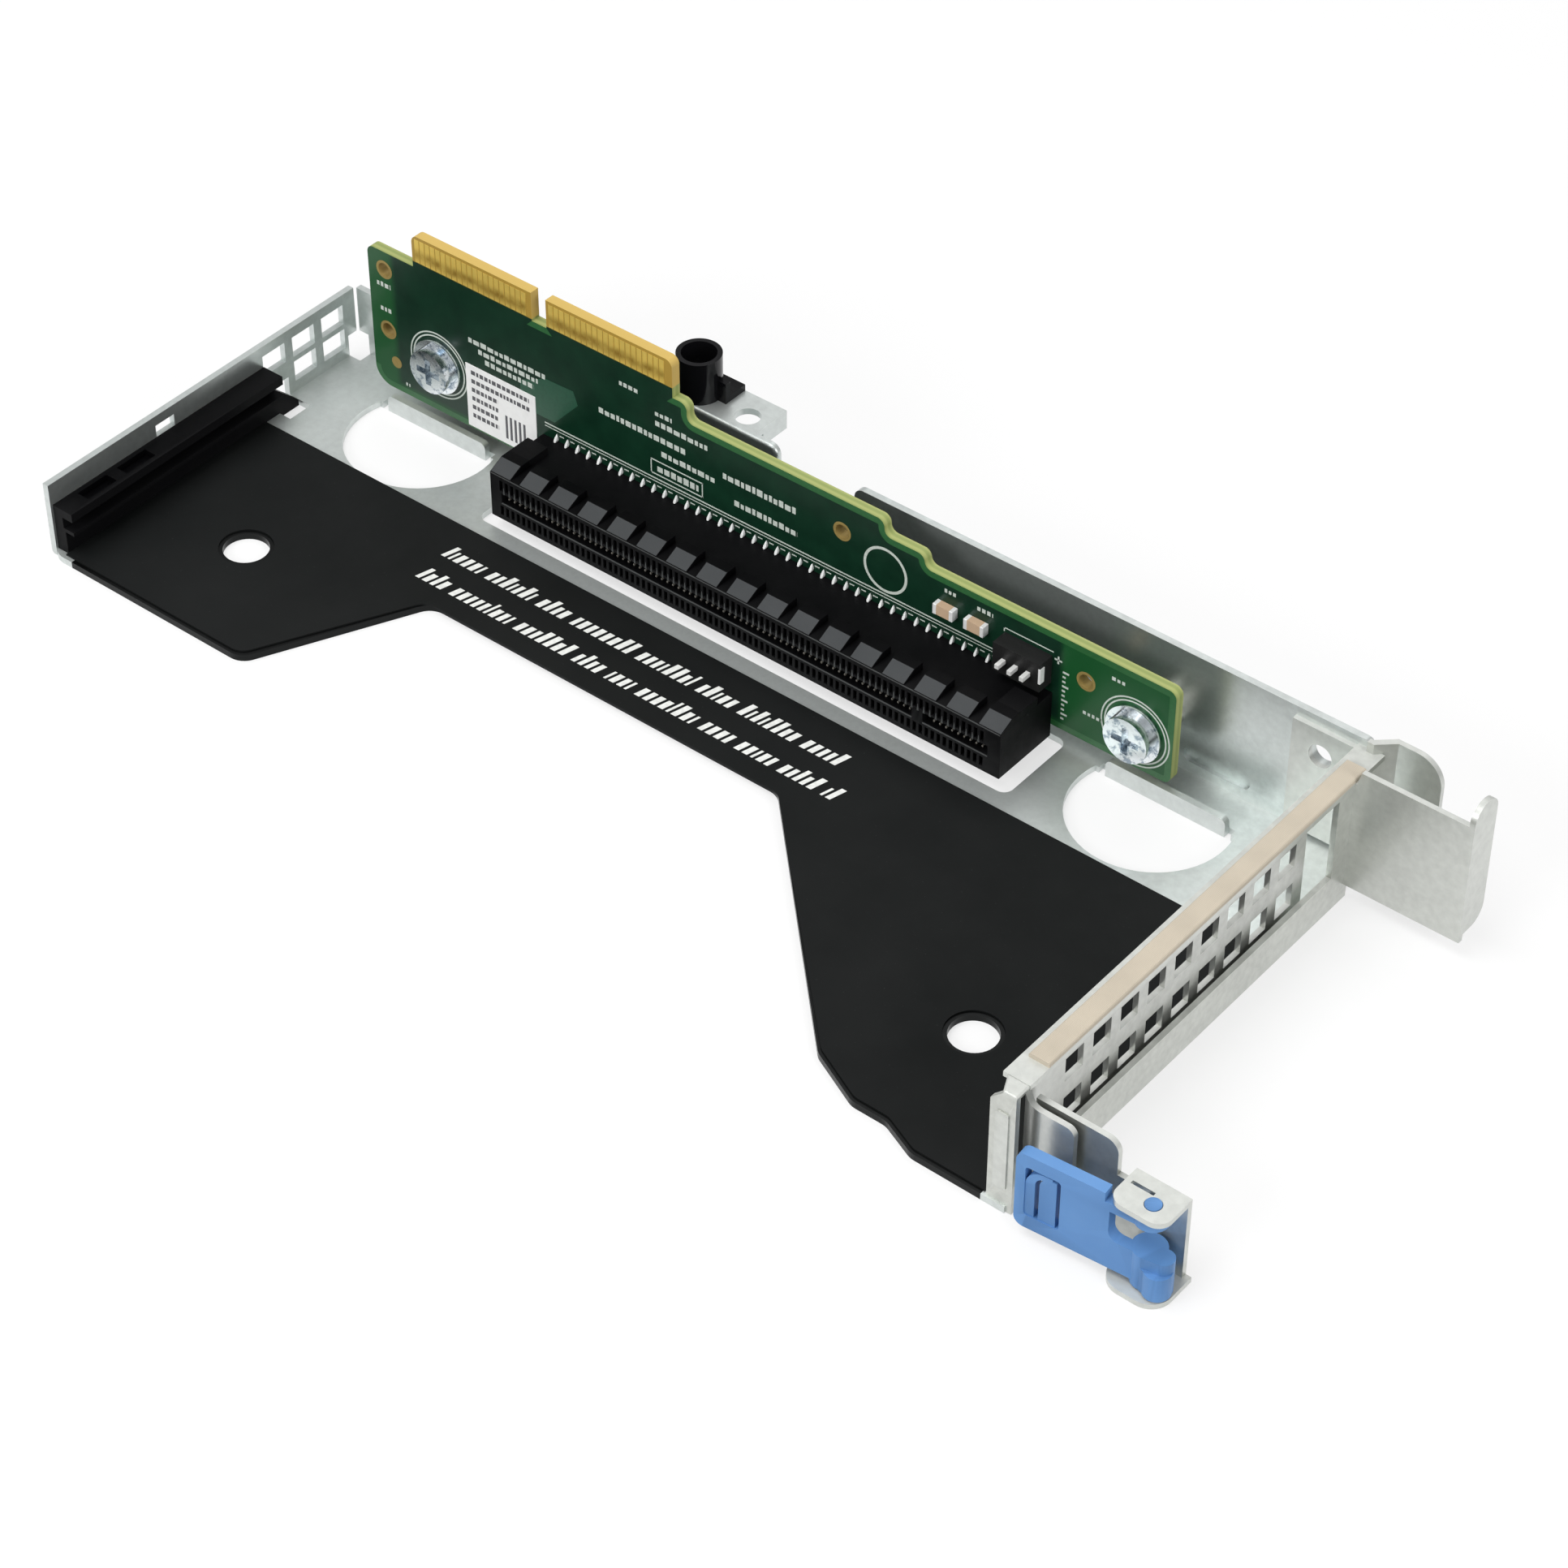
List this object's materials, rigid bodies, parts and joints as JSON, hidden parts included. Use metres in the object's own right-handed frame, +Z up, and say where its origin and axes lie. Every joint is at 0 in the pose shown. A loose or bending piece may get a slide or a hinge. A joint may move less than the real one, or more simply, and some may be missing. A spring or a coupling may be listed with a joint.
{
  "type": "pcie riser card",
  "caption": "Server riser card on a folded steel tray: upright riser board with card slot, card guide, perforated slot blank in a folded bracket, and a hinged blue card latch.",
  "frame": {"origin": "centre of the tray's left plate hole at the tray's underside", "axes": "+X along the card slot towards the bracket, +Y towards the back wall, +Z up from the tray"},
  "size_m": [0.2014, 0.0867, 0.033],
  "materials": {
    "zinc": "zinc-coated steel sheet, spangled, satin",
    "film": "matte black film",
    "black_plastic": "moulded black plastic, matte",
    "board": "green solder mask",
    "screw": "zinc-plated screw",
    "brass_nickel": "nickel-plated",
    "slot_plastic": "dark grey moulded plastic",
    "gloss_black": "glossy black moulded plastic",
    "bracket_steel": "zinc-coated steel sheet, satin",
    "blank_steel": "zinc-coated steel sheet, satin",
    "gasket_fabric": "conductive fabric over foam",
    "blue_plastic": "blue moulded plastic, satin",
    "label": "white paper label",
    "header_plastic": "black moulded plastic",
    "pin_metal": "tin-plated pin",
    "chip": "ceramic chip with tinned ends"
  },
  "bodies": {
    "frame": {"tray": "zinc", "insulator_film": "film", "card_guide": "black_plastic", "riser_board": "board", "board_screw_left": "screw", "board_screw_right": "screw", "standoff_left": "brass_nickel", "standoff_right": "brass_nickel", "slot_housing": "slot_plastic", "guide_boss": "gloss_black", "io_bracket": "bracket_steel", "slot_blank": "blank_steel", "emi_gasket": "gasket_fabric", "board_label": "label", "header_block": "header_plastic", "header_pin_1": "pin_metal", "header_pin_2": "pin_metal", "header_pin_3": "pin_metal", "chip_capacitor_left": "chip", "chip_capacitor_right": "chip"},
    "latch": {"latch_lever": "blue_plastic"}
  },
  "joints": [
    {"name": "latch_hinge", "type": "hinge", "parent": "frame", "child": "latch", "pos_m": [0.1763, -0.0312, 0.007], "axis": [0, 0, 1], "range_deg": [-5, 35]}
  ]
}
